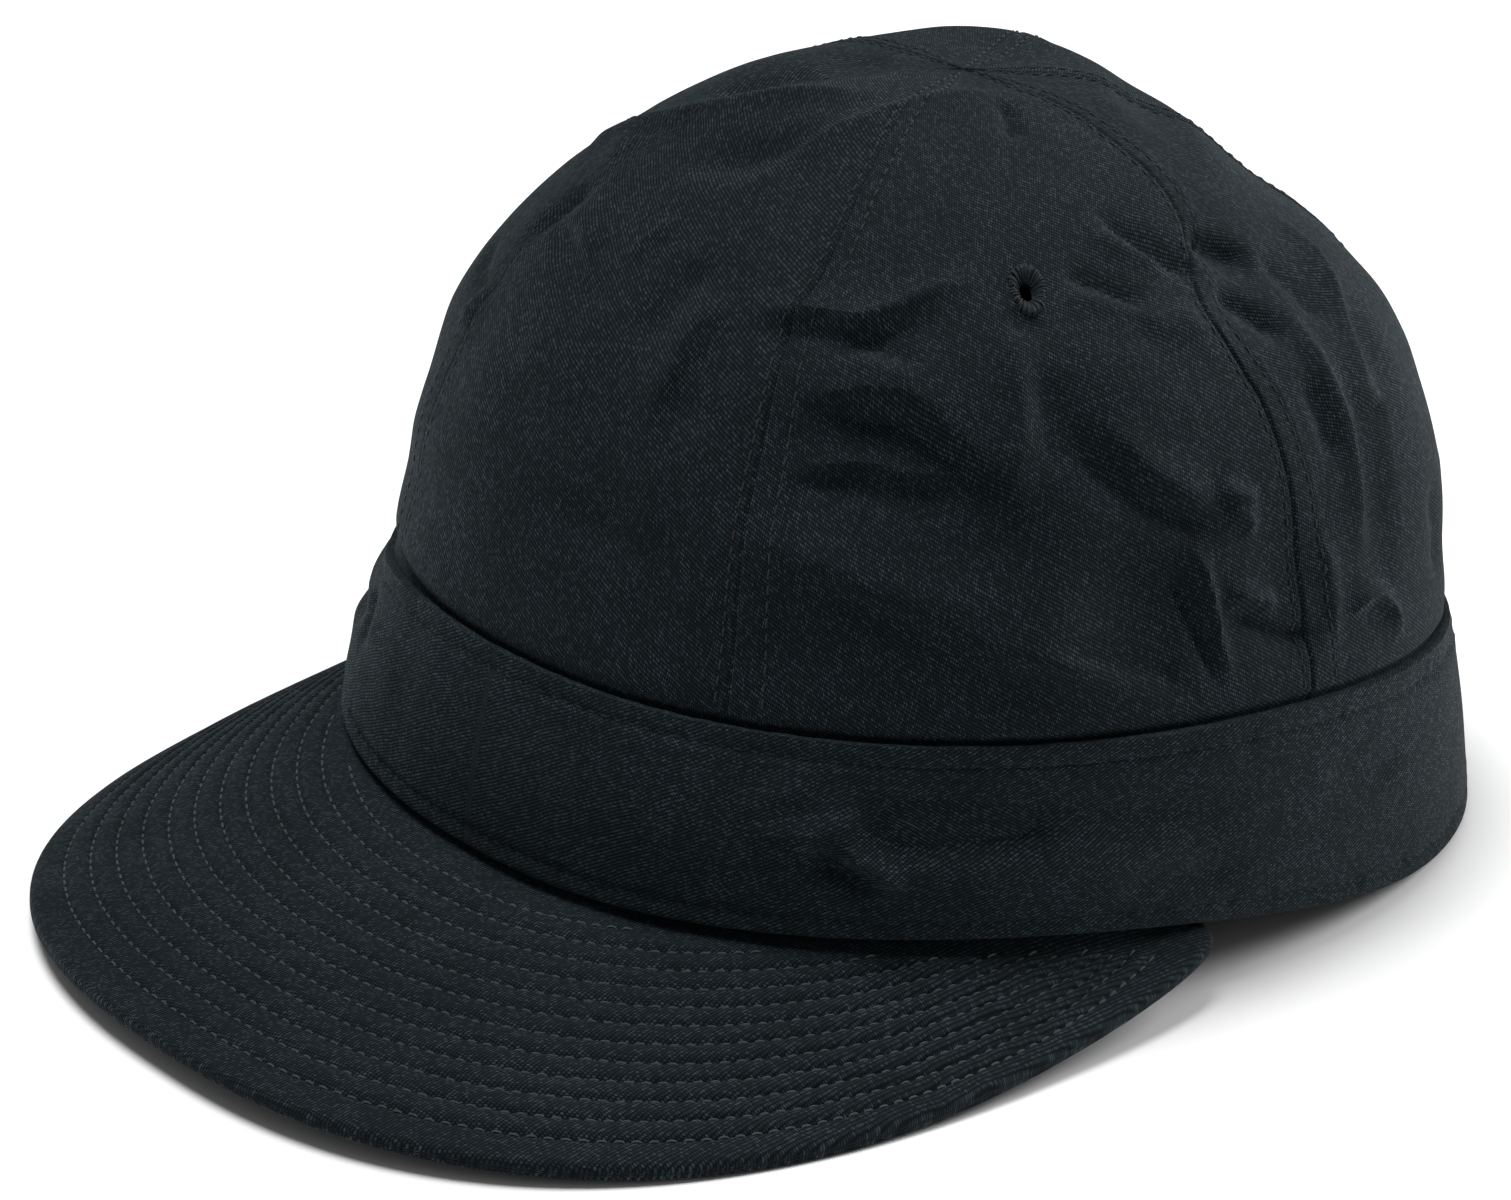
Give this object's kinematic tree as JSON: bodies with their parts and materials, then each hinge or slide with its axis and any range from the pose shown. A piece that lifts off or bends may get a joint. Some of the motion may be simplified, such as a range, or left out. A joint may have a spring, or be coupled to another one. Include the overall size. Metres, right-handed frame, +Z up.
{
  "type": "bump cap",
  "caption": "Soft six-panel work cap with a wide folded band, row-stitched brim, vent eyelets and a vented hard insert that lifts out of the crown.",
  "frame": {"origin": "on the surface the cap stands on, under the middle of its box", "axes": "+X to the wearer's left, -Y to the brim's tip, +Z up"},
  "size_m": [0.196, 0.2751, 0.1415],
  "materials": {
    "crown_twill": "matt navy-black cotton twill",
    "band_twill": "matt navy-black cotton twill",
    "thread": "spun sewing thread",
    "lining": "woven tape",
    "board": "flexible black polyethylene sheet",
    "shell_plastic": "textured moulded ABS",
    "trim_rubber": "soft extruded bead",
    "hook_tape": "hook tape",
    "foam": "closed-cell foam with knitted face"
  },
  "bodies": {
    "cap": {"crown_front_panel": "crown_twill", "crown_left_front_panel": "crown_twill", "crown_left_rear_panel": "crown_twill", "crown_right_front_panel": "crown_twill", "crown_right_rear_panel": "crown_twill", "crown_rear_panel": "crown_twill", "left_eyelet": "thread", "right_eyelet": "thread", "seam_tapes": "lining", "crown_topstitching": "thread", "outer_band": "band_twill", "band_stitching": "thread", "sweatband": "lining", "brim_top_cover": "band_twill", "brim_board": "board", "brim_under_cover": "crown_twill", "brim_stitching": "thread", "front_loop_patch": "lining", "rear_loop_patch": "lining", "left_loop_patch": "lining", "right_loop_patch": "lining"},
    "insert": {"impact_shell": "shell_plastic", "shell_rim_trim": "trim_rubber", "front_hook_patch": "hook_tape", "rear_hook_patch": "hook_tape", "left_hook_patch": "hook_tape", "right_hook_patch": "hook_tape", "front_pad": "foam", "rear_pad": "foam", "left_pad": "foam", "right_pad": "foam", "crown_pad": "foam"}
  },
  "joints": [
    {"name": "insert_pull", "type": "slide", "parent": "cap", "child": "insert", "axis": [0, -0.1045, -0.9945], "range_m": [0, 0.18]}
  ]
}
